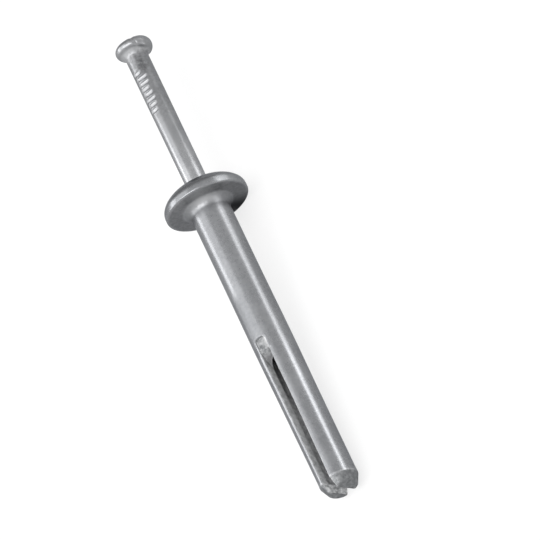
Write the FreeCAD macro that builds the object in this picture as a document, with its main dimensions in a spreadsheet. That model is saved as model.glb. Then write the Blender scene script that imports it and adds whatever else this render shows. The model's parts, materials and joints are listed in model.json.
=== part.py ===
import FreeCAD, Part
import math
import os

import Sketcher

# Masonry anchor with a mushroom head and a drive nail that stands part of the way in it.
# Millimetres. Both pieces are drawn about their common axis, local +Z, with the seat under
# the mushroom head at z = 0, the tip below it and the nail above it.

SIZES = {
    # mushroom head of the cast body
    "head_diameter": 12.9,
    "head_height": 2.8,
    "rim_height": 1.15,
    "rim_round": 0.4,
    "crown_diameter": 7.6,
    "neck_round": 1.0,
    # shank and tip of the cast body
    "shank_diameter": 6.08,
    "draft_start": 23.0,
    "leg_end_diameter": 6.02,
    "anchor_length": 50.8,
    "tip_taper_length": 1.75,
    "tip_diameter": 4.5,
    "tip_round": 0.8,
    # slot that parts the two legs
    "slot_start": 24.0,
    "slot_width": 1.85,
    "slot_tip_width": 1.7,
    "slot_drift": 0.28,
    "slot_round": 0.45,
    "web_depth": 0.4,
    "web_length": 2.0,
    "ramp_slope": 45,
    # bore for the nail
    "bore_clearance": 0.05,
    "bore_end_wall": 1.7,
    "bore_mouth": 0.3,
    # drive nail
    "nail_diameter": 3.4,
    "nail_length": 51.0,
    "nail_travel": 24.6,
    "seat_clearance": 0.05,
    "point_length": 2.2,
    "point_diameter": 1.7,
    "nail_head_diameter": 5.5,
    "nail_head_height": 1.6,
    "nail_neck_round": 0.2,
    # grip marks across two sides of the nail
    "mark_count": 8,
    "mark_pitch": 0.94,
    "mark_offset": 3.6,
    "mark_radius": 0.5,
    "mark_depth": 0.2,
    "mark_slant": 5,
    # forging crease across the rim of the nail head
    "crease_radius": 0.3,
    "crease_depth": 0.2,
    "crease_lean": 30,
    "crease_turn": 222,
    # how far the nail is turned about the axis as the anchor lies
    "mark_turn": 94.6,
}

SHANK_RADIUS = "sizes.shank_diameter / 2"
LEG_END_RADIUS = "sizes.leg_end_diameter / 2"
HEAD_RADIUS = "sizes.head_diameter / 2"
CROWN_RADIUS = "sizes.crown_diameter / 2"
TIP_RADIUS = "sizes.tip_diameter / 2"
NAIL_RADIUS = "sizes.nail_diameter / 2"
BORE_RADIUS = "sizes.nail_diameter / 2 + sizes.bore_clearance"
NAIL_HEAD_RADIUS = "sizes.nail_head_diameter / 2"

# The nail head rests above the crown by its travel and a last small gap.
NAIL_SEAT = "sizes.head_height + sizes.nail_travel + sizes.seat_clearance"
NAIL_END = "sizes.head_height + sizes.nail_travel + sizes.seat_clearance - sizes.nail_length"


def make_sheet(doc):
    """Fill the spreadsheet with one named row for each driving dimension."""
    sheet = doc.addObject("Spreadsheet::Sheet", "sizes")
    for row, (name, value) in enumerate(SIZES.items(), start=1):
        sheet.set(f"A{row}", name)
        sheet.set(f"B{row}", str(value))
        sheet.setAlias(f"B{row}", name)
    doc.recompute()
    return sheet


def origin_feature(body, role):
    """Find a plane or axis of the body's own origin by its role."""
    return next(item for item in body.Origin.OriginFeatures if item.Role == role)


def new_sketch(body, name, role, offset=None):
    """Start a sketch on one of the body's own origin planes."""
    sketch = body.newObject("Sketcher::SketchObject", name)
    sketch.AttachmentSupport = [(origin_feature(body, role), "")]
    sketch.MapMode = "FlatFace"
    if offset is not None:
        sketch.AttachmentOffset = offset
    return sketch


def arc_between(start, end, radius, left):
    """Give the arc of that radius from start to end, with its centre on the left or the right."""
    middle = (start + end) * 0.5
    half = (end - start).Length / 2
    rise = math.sqrt(max(radius * radius - half * half, 0.0))
    along = (end - start).normalize()
    side = FreeCAD.Vector(-along.y, along.x, 0)
    centre = middle + side * (rise if left else -rise)
    first = math.atan2(start.y - centre.y, start.x - centre.x)
    last = math.atan2(end.y - centre.y, end.x - centre.x)
    if not left:
        first, last = last, first
    circle = Part.Circle(centre, FreeCAD.Vector(0, 0, 1), radius)
    return Part.ArcOfCircle(circle, first, last)


def draw_outline(sketch, corners):
    """Draw a closed outline. Each corner is (x, y) or (x, y, radius, "left" or "right").

    The entries are expressions in the sheet's names. A corner with a radius starts an arc
    that runs to the next corner with its centre on that side of the way there.
    """
    points = [
        FreeCAD.Vector(sketch.evalExpression(corner[0]), sketch.evalExpression(corner[1]), 0)
        for corner in corners
    ]
    starts = []
    ends = []
    for number, corner in enumerate(corners):
        start = points[number]
        end = points[(number + 1) % len(points)]
        if len(corner) == 2:
            edge = sketch.addGeometry(Part.LineSegment(start, end), False)
            starts.append((edge, 1))
            ends.append((edge, 2))
            continue
        left = corner[3] == "left"
        radius = sketch.evalExpression(corner[2])
        edge = sketch.addGeometry(arc_between(start, end, radius, left), False)
        starts.append((edge, 1) if left else (edge, 2))
        ends.append((edge, 2) if left else (edge, 1))
        size = sketch.addConstraint(Sketcher.Constraint("Radius", edge, radius))
        sketch.setExpression(f"Constraints[{size}]", corner[2])
    for number, corner in enumerate(corners):
        here = starts[number]
        before = ends[number - 1]
        sketch.addConstraint(Sketcher.Constraint("Coincident", *before, *here))
        for kind, text, value in (
            ("DistanceX", corner[0], points[number].x),
            ("DistanceY", corner[1], points[number].y),
        ):
            place = sketch.addConstraint(Sketcher.Constraint(kind, -1, 1, *here, value))
            sketch.setExpression(f"Constraints[{place}]", text)


def draw_circle(sketch, centre_x, centre_y, radius):
    """Draw a circle whose centre and radius are expressions in the sheet's names."""
    x = sketch.evalExpression(centre_x)
    y = sketch.evalExpression(centre_y)
    size = sketch.evalExpression(radius)
    circle = Part.Circle(FreeCAD.Vector(x, y, 0), FreeCAD.Vector(0, 0, 1), size)
    edge = sketch.addGeometry(circle, False)
    for constraint, text in (
        (Sketcher.Constraint("DistanceX", -1, 1, edge, 3, x), centre_x),
        (Sketcher.Constraint("DistanceY", -1, 1, edge, 3, y), centre_y),
        (Sketcher.Constraint("Radius", edge, size), radius),
    ):
        index = sketch.addConstraint(constraint)
        sketch.setExpression(f"Constraints[{index}]", text)


def spin(body, kind, name, sketch):
    """Turn a half outline once round the body's axis, to add or to cut."""
    feature = body.newObject(f"PartDesign::{kind}", name)
    feature.Profile = sketch
    feature.ReferenceAxis = (sketch, ["V_Axis"])
    feature.Angle = 360
    return feature


def cut_through(body, name, sketch):
    """Cut a sketch right through the body, both ways from its plane."""
    pocket = body.newObject("PartDesign::Pocket", name)
    pocket.Profile = sketch
    pocket.SideType = "Symmetric"
    pocket.Type = "ThroughAll"
    return pocket


def volume_of(doc, body):
    """Recompute the document and give the body's volume so far."""
    doc.recompute()
    return body.Shape.Volume


def draw_body_profile(body):
    """Half outline of the casting: crown, domed shoulder, rim, seat, neck, shank and tip.

    The shank is a true cylinder down to the draft's start, and the legs thin a little from there.
    """
    # The shoulder's arc runs level where it meets the crown.
    run = "((sizes.head_diameter - sizes.crown_diameter) / 2)"
    rise = "(sizes.head_height - sizes.rim_height)"
    shoulder = f"({run}^2 + {rise}^2) / (2 * {rise})"
    taper = "atan((sizes.leg_end_diameter - sizes.tip_diameter) / 2 / sizes.tip_taper_length)"
    reach = f"sizes.tip_round * tan((90deg - {taper}) / 2)"
    sketch = new_sketch(body, "body_profile", "XZ_Plane")
    draw_outline(
        sketch,
        [
            ("0", "sizes.head_height"),
            ("0", "-sizes.anchor_length"),
            (f"{TIP_RADIUS} - {reach}", "-sizes.anchor_length", "sizes.tip_round", "left"),
            (f"{TIP_RADIUS} + {reach} * sin({taper})", f"-sizes.anchor_length + {reach} * cos({taper})"),
            (LEG_END_RADIUS, "-sizes.anchor_length + sizes.tip_taper_length"),
            (SHANK_RADIUS, "-sizes.draft_start"),
            (SHANK_RADIUS, "-sizes.neck_round", "sizes.neck_round", "right"),
            (f"{SHANK_RADIUS} + sizes.neck_round", "0"),
            (f"{HEAD_RADIUS} - sizes.rim_round", "0", "sizes.rim_round", "left"),
            (HEAD_RADIUS, "sizes.rim_round"),
            (HEAD_RADIUS, "sizes.rim_height", shoulder, "left"),
            (CROWN_RADIUS, "sizes.head_height"),
        ],
    )
    return sketch


def draw_slot(body):
    """Slot seen square to its faces: round-cornered top and open tip, which is a little narrower.

    Its middle line drifts from one side of the axis at the top to the other side at the tip.
    """
    sketch = new_sketch(body, "slot_outline", "YZ_Plane")
    half = "sizes.slot_width / 2"
    half_tip = "sizes.slot_tip_width / 2"
    aside = "sizes.slot_drift / 2"
    draw_outline(
        sketch,
        [
            (f"-{half} - {aside} + sizes.slot_round", "-sizes.slot_start", "sizes.slot_round", "left"),
            (f"-{half} - {aside}", "-sizes.slot_start - sizes.slot_round"),
            (f"-{half_tip} + {aside}", "-sizes.anchor_length"),
            (f"{half_tip} + {aside}", "-sizes.anchor_length"),
            (f"{half} - {aside}", "-sizes.slot_start - sizes.slot_round", "sizes.slot_round", "left"),
            (f"{half} - {aside} - sizes.slot_round", "-sizes.slot_start"),
        ],
    )
    return sketch


def draw_web(body):
    """Web left in the top of the slot: a shallow floor on each side, then a ramp down to the bore."""
    floor = "sizes.shank_diameter / 2 - sizes.web_depth"
    below = "-sizes.slot_start - sizes.web_length"
    ramp_end = f"{below} - ({floor}) * tan(sizes.ramp_slope * 1deg)"
    above = "-sizes.slot_start + sizes.slot_round"
    sketch = new_sketch(body, "web_outline", "XZ_Plane")
    draw_outline(
        sketch,
        [
            (floor, above),
            (f"-({floor})", above),
            (f"-({floor})", below),
            ("0", ramp_end),
            (floor, below),
        ],
    )
    return sketch


def draw_bore(body):
    """Half outline of the bore: bevelled mouth in the crown, straight wall and a blind end."""
    mouth = f"{BORE_RADIUS} + sizes.bore_mouth"
    end = "-sizes.anchor_length + sizes.bore_end_wall"
    sketch = new_sketch(body, "bore_profile", "XZ_Plane")
    draw_outline(
        sketch,
        [
            ("0", "sizes.head_height"),
            ("0", end),
            (BORE_RADIUS, end),
            (BORE_RADIUS, "sizes.head_height - sizes.bore_mouth"),
            (mouth, "sizes.head_height"),
        ],
    )
    return sketch


def build_anchor_body(doc):
    """Cast body in one piece: turned outline, slot, web in the slot's top, bore for the nail."""
    body = doc.addObject("PartDesign::Body", "anchor_body")
    body.Label = "anchor_body"
    spin(body, "Revolution", "casting", draw_body_profile(body))
    solid = volume_of(doc, body)

    cut_through(body, "slot", draw_slot(body))
    slotted = volume_of(doc, body)
    assert slotted < solid, "the slot must cut the shank"

    web = body.newObject("PartDesign::Pad", "web")
    web.Profile = draw_web(body)
    web.SideType = "Symmetric"
    # The pad reaches past both faces of the slot, into the legs it joins.
    web.setExpression("Length", "sizes.slot_width + sizes.slot_drift + sizes.slot_round")
    webbed = volume_of(doc, body)
    assert webbed > slotted, "the web must fill the top of the slot"

    spin(body, "Groove", "bore", draw_bore(body))
    assert volume_of(doc, body) < webbed, "the bore must cut the body"
    return body


def draw_nail_profile(body):
    """Half outline of the nail: round-rimmed head, small neck, shank and blunt tapered point."""
    bead = "sizes.nail_head_height / 2"
    bead_centre = f"{NAIL_HEAD_RADIUS} - {bead}"
    sketch = new_sketch(body, "nail_profile", "XZ_Plane")
    draw_outline(
        sketch,
        [
            ("0", f"{NAIL_SEAT} + sizes.nail_head_height"),
            ("0", NAIL_END),
            ("sizes.point_diameter / 2", NAIL_END),
            (NAIL_RADIUS, f"{NAIL_END} + sizes.point_length"),
            (NAIL_RADIUS, f"{NAIL_SEAT} - sizes.nail_neck_round", "sizes.nail_neck_round", "right"),
            (f"{NAIL_RADIUS} + sizes.nail_neck_round", NAIL_SEAT),
            (bead_centre, NAIL_SEAT, bead, "left"),
            (NAIL_HEAD_RADIUS, f"{NAIL_SEAT} + {bead}", bead, "left"),
            (bead_centre, f"{NAIL_SEAT} + sizes.nail_head_height"),
        ],
    )
    return sketch


def cut_grip_marks(body):
    """Row of shallow round-bottomed marks across two opposite sides of the nail."""
    sketch = new_sketch(body, "mark_outline", "XZ_Plane")
    # The sketch plane leans about the sideways line through the first mark.
    place = f"vector(0; {NAIL_SEAT} - sizes.mark_offset; 0)"
    sketch.setExpression("AttachmentOffset", f"placement({place}; rotation(0; 0; sizes.mark_slant))")
    reach = f"{NAIL_RADIUS} + sizes.mark_radius - sizes.mark_depth"
    draw_circle(sketch, reach, "0", "sizes.mark_radius")
    draw_circle(sketch, f"-({reach})", "0", "sizes.mark_radius")
    mark = cut_through(body, "mark", sketch)
    row = body.newObject("PartDesign::LinearPattern", "marks")
    row.Originals = [mark]
    row.Direction = (origin_feature(body, "Z_Axis"), [""])
    row.Reversed = True
    row.Mode = "Spacing"
    row.setExpression("Offset", "sizes.mark_pitch")
    row.setExpression("Occurrences", "sizes.mark_count")
    body.Tip = row
    return row


def cut_head_crease(body):
    """Slanting flute where the forged metal folded over at the rim of the nail head."""
    sketch = new_sketch(body, "crease_outline", "XY_Plane")
    place = f"vector(0; 0; {NAIL_SEAT} + sizes.nail_head_height / 2)"
    turn = "rotation(sizes.crease_turn; 0; sizes.crease_lean)"
    sketch.setExpression("AttachmentOffset", f"placement({place}; {turn})")
    reach = f"{NAIL_HEAD_RADIUS} + sizes.crease_radius - sizes.crease_depth"
    draw_circle(sketch, reach, "0", "sizes.crease_radius")
    return cut_through(body, "crease", sketch)


def build_drive_nail(doc):
    """Steel nail: turned outline, then the grip marks and the crease in the head's rim."""
    body = doc.addObject("PartDesign::Body", "drive_nail")
    body.Label = "drive_nail"
    spin(body, "Revolution", "nail", draw_nail_profile(body))
    plain = volume_of(doc, body)
    cut_grip_marks(body)
    marked = volume_of(doc, body)
    assert marked < plain, "the grip marks must cut the nail"
    cut_head_crease(body)
    assert volume_of(doc, body) < marked, "the crease must cut the nail head"
    return body


def level_slot(size):
    """Turn that brings both lower edges of the slot level where the tip's taper starts.

    Returns that turn and how far below the axis the two edges are then.
    """
    taper_start = size("anchor_length") - size("tip_taper_length")
    top = size("slot_start") + size("slot_round")
    share = (taper_start - top) / (size("anchor_length") - top)
    half = (size("slot_width") + (size("slot_tip_width") - size("slot_width")) * share) / 2
    middle = size("slot_drift") * (share - 1 / 2)
    radius = size("leg_end_diameter") / 2
    first = math.asin((middle - half) / radius)
    last = math.asin((middle + half) / radius)
    return math.pi / 2 - (first + last) / 2, radius * math.cos((last - first) / 2)


def lay_down(sheet, anchor_body, drive_nail):
    """Lay the anchor on the ground plane as it comes to rest, on its rim and the slot's two edges.

    One mouth of the slot faces down and the axis lies along Y, with the tip towards -Y. It
    leans by the line that touches the rim's rounded edge and the slot's edges near the tip.
    """
    size = sheet.get
    slot_turn, tip_depth = level_slot(size)
    rim_centre = size("head_diameter") / 2 - size("rim_round")
    drop = rim_centre - tip_depth
    run = size("anchor_length") - size("tip_taper_length") + size("rim_round")
    lean = math.atan2(drop, run) + math.asin(size("rim_round") / math.hypot(drop, run))

    lift = rim_centre * math.cos(lean) - size("rim_round") * math.sin(lean) + size("rim_round")
    tilt = FreeCAD.Rotation(FreeCAD.Vector(1, 0, 0), math.degrees(lean) - 90)
    for body, turn in ((anchor_body, math.degrees(slot_turn)), (drive_nail, size("mark_turn"))):
        about_axis = FreeCAD.Rotation(FreeCAD.Vector(0, 0, 1), turn)
        body.Placement = FreeCAD.Placement(FreeCAD.Vector(0, 0, lift), tilt * about_axis)

    # The origin is under the middle of the whole length.
    tip_y = anchor_body.Shape.optimalBoundingBox(False).YMin
    head_y = drive_nail.Shape.optimalBoundingBox(False).YMax
    for body in (anchor_body, drive_nail):
        body.Placement.Base = FreeCAD.Vector(0, -(tip_y + head_y) / 2, lift)


def check_document(doc, bodies):
    """Stop where any object failed or any piece has no valid shape."""
    for item in doc.Objects:
        if "Invalid" in item.State or "Error" in item.State:
            raise RuntimeError(f"{item.Label} did not recompute: {item.State}")
    for body in bodies:
        if body.Shape.isNull() or not body.Shape.isValid():
            raise RuntimeError(f"{body.Label} has no valid shape")
        if len(body.Shape.Solids) != 1:
            raise RuntimeError(f"{body.Label} must be one solid")


def main():
    doc = FreeCAD.newDocument("masonry_anchor")
    sheet = make_sheet(doc)
    anchor_body = build_anchor_body(doc)
    drive_nail = build_drive_nail(doc)
    lay_down(sheet, anchor_body, drive_nail)
    doc.recompute()
    check_document(doc, (anchor_body, drive_nail))
    os.makedirs("parts", exist_ok=True)
    for body in (anchor_body, drive_nail):
        body.Shape.exportStep(f"parts/{body.Label}.step")


main()
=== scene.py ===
import json
import math

import bmesh
import bpy
import numpy as np
from mathutils import Matrix, Vector


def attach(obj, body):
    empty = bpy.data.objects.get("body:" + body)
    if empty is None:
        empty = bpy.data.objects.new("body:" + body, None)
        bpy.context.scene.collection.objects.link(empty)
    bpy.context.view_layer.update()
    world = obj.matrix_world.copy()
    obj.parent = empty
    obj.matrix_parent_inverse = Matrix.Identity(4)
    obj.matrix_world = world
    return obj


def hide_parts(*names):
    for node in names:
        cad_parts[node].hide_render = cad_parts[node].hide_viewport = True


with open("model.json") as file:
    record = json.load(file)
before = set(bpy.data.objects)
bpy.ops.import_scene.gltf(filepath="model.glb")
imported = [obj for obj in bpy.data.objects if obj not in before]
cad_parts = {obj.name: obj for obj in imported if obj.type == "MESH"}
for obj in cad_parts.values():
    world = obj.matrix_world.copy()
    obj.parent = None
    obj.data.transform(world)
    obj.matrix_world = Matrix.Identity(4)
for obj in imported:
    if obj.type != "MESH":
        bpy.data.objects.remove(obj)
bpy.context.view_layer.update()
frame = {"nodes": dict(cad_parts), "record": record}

MM = 0.001

# Cast body, in millimetres: radii, and heights along the axis with the seat under the head at 0.
HEAD_R = 6.45
HEAD_TOP = 2.8
RIM_TOP = 1.15
RIM_ROUND = 0.30
RIM_SHOULDER = 0.36
CROWN_R = 3.8
CROWN_EASE = 0.1
# Shallow dish in the crown, which takes the uneven underside of the driven nail's head.
DISH_Z = 2.56
DISH_R = 2.8
DISH_EDGE_R = 3.1
# The solid's neck round, below which the record's shank starts, and the scene's wider sweep.
NECK_ROUND = 1.0
NECK_SWEEP = 1.4
SHANK_R = 3.04
DRAFT_Z = -23.0
LEG_END_R = 3.01
TAPER_Z = -49.05
TAPER_ROUND = 0.18
TIP_Z = -50.8
TIP_R = 2.25
TIP_ROUND = 0.8
TIP_ANGLE = math.atan((LEG_END_R - TIP_R) / (TAPER_Z - TIP_Z))
TIP_REACH = TIP_ROUND * math.tan((math.pi / 2 - TIP_ANGLE) / 2)
END_LIP = 0.12

# Slot between the legs, the web in its top, and the bore.
SLOT_Z = -24.0
SLOT_ROUND = 0.45
SLOT_HALF = 0.925
SLOT_TIP_HALF = 0.85
SLOT_DRIFT = 0.28
# Rounds of the slot's top at its +Y and -Y walls.
TOP_ROUND = {1: 0.3, -1: 0.7}
# How much closer the -Y wall comes from CLOSER_TOP down, and the bulge on it in the upper half.
WALL_CLOSER = 0.1
CLOSER_TOP = -24.6
CLOSER_FULL = -27.5
WALL_BULGE = 0.08
BULGE_FULL = -27.0
BULGE_Z = -28.8
BULGE_WIDTH = 3.5
WEB_DEPTH = 0.4
WEB_R = SHANK_R - WEB_DEPTH
WEB_Z = -26.0
# How steeply the web's ramp falls at the slot's +Y and -Y walls.
RAMP_SLOPE = {1: 0.42, -1: 1.0}
LIP_ROUND = 0.2
EDGE_ROUND = 0.26
EDGE_RUN = 0.62
ROOT_ROUND = 0.16
BORE_R = 1.75
BORE_END_Z = -49.1
BORE_BEVEL = 0.36
# Rows of the notch below its lip: height, and how far the section has opened from the plain round.
NOTCH_ROWS = (
    (-24.0, 0.55), (-24.01, 0.72), (-24.035, 0.85), (-24.07, 0.93), (-24.12, 0.98), (-24.18, 1.0),
    (-24.26, 1.0), (-24.36, 1.0), (-24.45, 1.0), (-24.6, 1.0), (-24.8, 1.0), (-25.0, 1.0),
    (-25.25, 1.0), (-25.5, 1.0), (-25.7, 1.0), (-25.85, 1.0), (-26.0, 1.0),
)

# Casting unevenness: height, place and width of the swell where the slot starts and of the flare
# where the taper starts, how much slimmer the shank is under the neck, and the slow waves.
SWELL = (0.045, -25.5, 7.0)
FLARE = (0.03, TAPER_Z + 0.15, 0.4)
SLIMMER = 0.02
WAVE = 0.001

# Columns of a ring, two halves that are each a slot mouth and the leg after it: the slot walls
# before their roots, the cells over the mouth's floor, and the cells over a leg in the bore.
HALF_RING = 76
RING = 2 * HALF_RING
WALL_COLUMNS = 12
FLOOR_CELLS = 14
LEG_CELLS = 62
LEG_ARC_CELLS = 40
MOUTH = slice(WALL_COLUMNS - 1, WALL_COLUMNS + FLOOR_CELLS)
LEG = slice(MOUTH.stop - 1, MOUTH.stop + LEG_CELLS)
OTHER_MOUTH = slice(HALF_RING + MOUTH.start, HALF_RING + MOUTH.stop)
# Length of the outer profile over which the columns turn from the bore's spacing to the slot's.
TWIST_LENGTH = 9.0

# Drive nail.
NAIL_R = 1.7
NAIL_SEAT = 27.45
NAIL_LENGTH = 51.0
NAIL_HEAD_R = 2.75
NAIL_HEAD_HEIGHT = 1.6
NAIL_NECK_Z = 26.7
UNDER_HEAD_ANGLE = 60.0
POINT_LENGTH = 2.2
POINT_R = 0.85
POINT_EASE = 0.3
NAIL_COLUMNS = 144
# Grip marks, each with its own depth and its place around the wire in degrees.
MARK_COUNT = 8
MARK_PITCH = 0.94
MARK_OFFSET = 3.6
MARK_HALF = 0.37
MARK_DEPTHS = (0.15, 0.26, 0.24, 0.17, 0.18, 0.24, 0.17, 0.14)
MARK_SHIFTS = (-9.2, 4.2, 3.0, -3.1, 1.4, -1.8, -3.1, -9.0)
MARK_SLANT = math.radians(5)
MARK_TURN = math.radians(94.6)
MARK_EDGE = 0.012
MARKS_TOP = NAIL_SEAT - MARK_OFFSET + 1.0
MARKS_END = NAIL_SEAT - MARK_OFFSET - MARK_PITCH * (MARK_COUNT - 1) - 1.0
# The forged head: how far its heavy and its thin lobe and the crease between them leave the plain
# bead, downwards and outwards, and how much its top is raised.
CREASE_TURN = math.radians(222)
HEAVY_DROP, HEAVY_PUSH = 0.30, 0.17
THIN_RISE, THIN_PULL = 0.12, 0.05
CREASE_DROP, CREASE_PULL = 0.07, 0.12
TOP_RISE = 0.12

# Edges sharper than this, in radians, stay crisp.
BODY_CRISP = math.radians(32)
NAIL_CRISP = math.radians(50)

# Places of the painted shadow and the painted reflection, and of the marks that handling left,
# as turns about the axis in each piece's own frame.
PAINTED_SHADOW_TURN = math.radians(-12.0)
PAINTED_SHEEN_TURN = math.radians(-155.0) + 0.05
SCUFF_TURN = math.radians(168.4)
SMUDGE_TURN = math.radians(212)
SMUDGE_Z = 24.8

# Base colours, each as its darker and its lighter tone.
ZINC = {
    "plain": ((0.205, 0.21, 0.22), (0.285, 0.29, 0.30)),
    # The slot's duller mould skin, painted paler as painted light.
    "skin_and_painted_light": ((0.34, 0.345, 0.35), (0.62, 0.625, 0.63)),
    "web": ((0.12, 0.125, 0.13), (0.34, 0.345, 0.35)),
    # Dark tone of painted shade down the ramp into the bore.
    "ramp": ((0.10, 0.10, 0.105), (0.22, 0.22, 0.225)),
    "outer_end": ((0.13, 0.135, 0.14), (0.28, 0.285, 0.29)),
    # Light tone of the legs' inner lower ends, painted light.
    "inner_end_painted_light": ((0.26, 0.265, 0.27), (0.80, 0.805, 0.81)),
    # Dark tone of painted shade in the bore.
    "bore": ((0.12, 0.12, 0.125), (0.26, 0.26, 0.265)),
}
STEEL = ((0.27, 0.275, 0.285), (0.39, 0.395, 0.405))
# Pale tone of a painted reflection beside the neck.
PAINTED_SHEEN_TONE = (0.52, 0.525, 0.535)
# Pale tone of the painted highlight along the edge where each taper starts.
PAINTED_HIGHLIGHT_TONE = (0.46, 0.465, 0.475)
MARK_TONE = (0.39, 0.395, 0.405)
# Paler tone of painted light on the flare under the nail head.
FLARE_PAINTED_LIGHT_TONE = (0.40, 0.405, 0.415)
GLANCING_TINT = (0.6, 0.61, 0.63, 1)
NAIL_METALLIC = 0.9

# How the photograph frames the anchor: millimetres to a pixel, the seat's own pixel, the side of
# the axis that faces the viewer (turned from the upper side towards +X), how far the tip comes
# towards the viewer, and how the axis runs over the picture.
PHOTO_PX = 540
MM_PER_PX = 0.14517
SEAT_PX = (208.02, 206.29)
NEAR_SIDE = math.radians(32.0)
TIP_TOWARDS = math.radians(26.32)
AXIS_RUN = (0.4316, -0.9021)
CAMERA_DISTANCE = 3.5
SENSOR_MM = 36.0

# Lamps that mirror in the shank's round: name, turn of the highlight from the near side in
# degrees, distance, size across and along in metres, radiance, and slide towards the tip.
ROUND_LAMPS = (
    ("left_panel", -28.5, 0.5, (0.42, 0.6), 1.2, 0.22),
    ("left_strip", -43.7, 0.7, (0.20, 0.9), 3.3, 0.34),
    ("right_strip", 30.2, 0.7, (0.16, 0.9), 2.2, 0.40),
    ("low_strip", 29.0, 0.028, (0.012, 0.0635), 1.5, 0.0155),
    ("low_strip_tip", 29.3, 0.016, (0.0085, 0.034), 1.5, 0.031),
    ("leg_panel", -9.5, 0.15, (0.08, 0.08), 0.6, 0.05),
)
# Where the broad lamp on the viewer's left stands: shares of near, rightward and tipward.
FRONT_SIDE = (0.86, -0.47, 0.22)
# Point on the axis that the lamps face, in millimetres below the seat.
LAMP_AIM = 12
FLOOR_HALF = 1.5
FLOOR_TONE = (0.8, 0.8, 0.8)
FLOOR_GLOW = 0.75
MIRRORED_TONE = (0.72, 0.72, 0.72)
WHITE = (1.0, 1.0, 1.0)
WORLD_LEVEL = 0.95
WORLD_DIM = 0.5


def axis_frame():
    """Seat centre, and the directions to the tip and the upper side, from the record's shank."""
    shank = next(mount for mount in frame["record"]["mounts"] if mount["name"] == "shank")
    tipward = np.array(shank["axis"]) / np.linalg.norm(shank["axis"])
    half = shank["dims"]["length_mm"] / 2
    seat = np.array(shank["pos_m"]) / MM - (NECK_ROUND + half) * tipward
    return seat, tipward, np.cross(tipward, [1.0, 0.0, 0.0])


SEAT, TIPWARD, UPPER = axis_frame()
SIDEWAYS = np.array([1.0, 0.0, 0.0])
NEAR = math.sin(NEAR_SIDE) * SIDEWAYS + math.cos(NEAR_SIDE) * UPPER
RIGHTWARD = math.cos(NEAR_SIDE) * SIDEWAYS - math.sin(NEAR_SIDE) * UPPER


# ---- shared by both pieces ----

def lerp(a, b, t):
    """Straight blend from a to b."""
    return a + (b - a) * t


def smooth(low, high, x):
    """Smooth step from 0 at low to 1 at high."""
    t = np.clip((x - low) / (high - low), 0.0, 1.0)
    return t * t * (3 - 2 * t)


def bump(x, centre, width):
    """Bell of height 1 at the centre."""
    return np.exp(-(((x - centre) / width) ** 2))


def around(angle, centre):
    """Angle from the centre, between half a turn either way."""
    return (angle - centre + math.pi) % (2 * math.pi) - math.pi


def pair(x, y):
    """Arrays of x and y as points."""
    return np.stack(np.broadcast_arrays(x, y), axis=-1)


def on_round(r, angle):
    """Points at that radius and angle."""
    return pair(r * np.cos(angle), r * np.sin(angle))


def slot_turn():
    """Turn of the body about its axis that brings both lower slot edges level near the tip."""
    share = (SLOT_Z - SLOT_ROUND - TAPER_Z) / (SLOT_Z - SLOT_ROUND - TIP_Z)
    half = lerp(SLOT_HALF, SLOT_TIP_HALF, share)
    middle = SLOT_DRIFT * (share - 0.5)
    first = math.asin((middle - half) / LEG_END_R)
    last = math.asin((middle + half) / LEG_END_R)
    return math.pi / 2 - (first + last) / 2


def to_world(points, turn):
    """Points about the local axis, +Z up from the seat, carried to where the piece lies, in m."""
    across = math.cos(turn) * SIDEWAYS - math.sin(turn) * UPPER
    along = -math.sin(turn) * SIDEWAYS - math.cos(turn) * UPPER
    return (SEAT + points @ np.array([across, along, -TIPWARD])) * MM


def grid_faces(rows, columns, start, cyclic):
    """Quads of a rows x columns grid whose first vertex has index start."""
    index = start + np.arange(rows * columns).reshape(rows, columns)
    if cyclic:
        index = np.hstack([index, index[:, :1]])
    corners = (index[:-1, :-1], index[:-1, 1:], index[1:, 1:], index[1:, :-1])
    return np.stack(corners, axis=-1).reshape(-1, 4)


def mesh_piece(name, grids, turn, crisp_angle, masks):
    """One closed mesh from grids of points (rows, columns, 3), each with a flag for closed rows.

    Grids share their seams point for point, so merging the doubles closes the surface. Masks are
    named functions of the points, kept on the mesh for the finish.
    """
    points = []
    faces = []
    start = 0
    for grid, cyclic in grids:
        rows, columns = grid.shape[:2]
        points.append(grid.reshape(-1, 3))
        faces.append(grid_faces(rows, columns, start, cyclic))
        start += rows * columns
    mesh = bpy.data.meshes.new(name)
    points = np.vstack(points)
    mesh.from_pydata(to_world(points, turn), [], np.vstack(faces).tolist())
    for label, mask in masks.items():
        layer = mesh.attributes.new(label, "FLOAT", "POINT")
        layer.data.foreach_set("value", mask(points).astype(np.float32))
    work = bmesh.new()
    work.from_mesh(mesh)
    bmesh.ops.remove_doubles(work, verts=work.verts, dist=1e-6)
    bmesh.ops.recalc_face_normals(work, faces=work.faces)
    work.to_mesh(mesh)
    work.free()
    mesh.shade_smooth()
    mesh.set_sharp_from_angle(angle=crisp_angle)
    piece = bpy.data.objects.new(name, mesh)
    bpy.context.scene.collection.objects.link(piece)
    return piece


def rounded_path(corners, steps):
    """Path through (r, z, length) corners, each rounded by a quadratic curve.

    The curve starts and ends that length from its corner; a corner of length 0 stays sharp.
    """
    path = []
    t = np.linspace(0, 1, steps)[:, None]
    for number, (r, z, length) in enumerate(corners):
        corner = np.array([r, z])
        if length == 0:
            path.append(corner[None])
            continue
        before = np.array(corners[number - 1][:2]) - corner
        after = np.array(corners[number + 1][:2]) - corner
        start = corner + before / np.linalg.norm(before) * length
        end = corner + after / np.linalg.norm(after) * length
        path.append((1 - t) ** 2 * start + 2 * t * (1 - t) * corner + t * t * end)
    return np.vstack(path)


def arc(centre, r, first, last, count):
    """Points on an arc of radius r, angles in degrees from +r towards +z."""
    return np.array(centre) + on_round(r, np.radians(np.linspace(first, last, count)))


# ---- cast body ----

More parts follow.
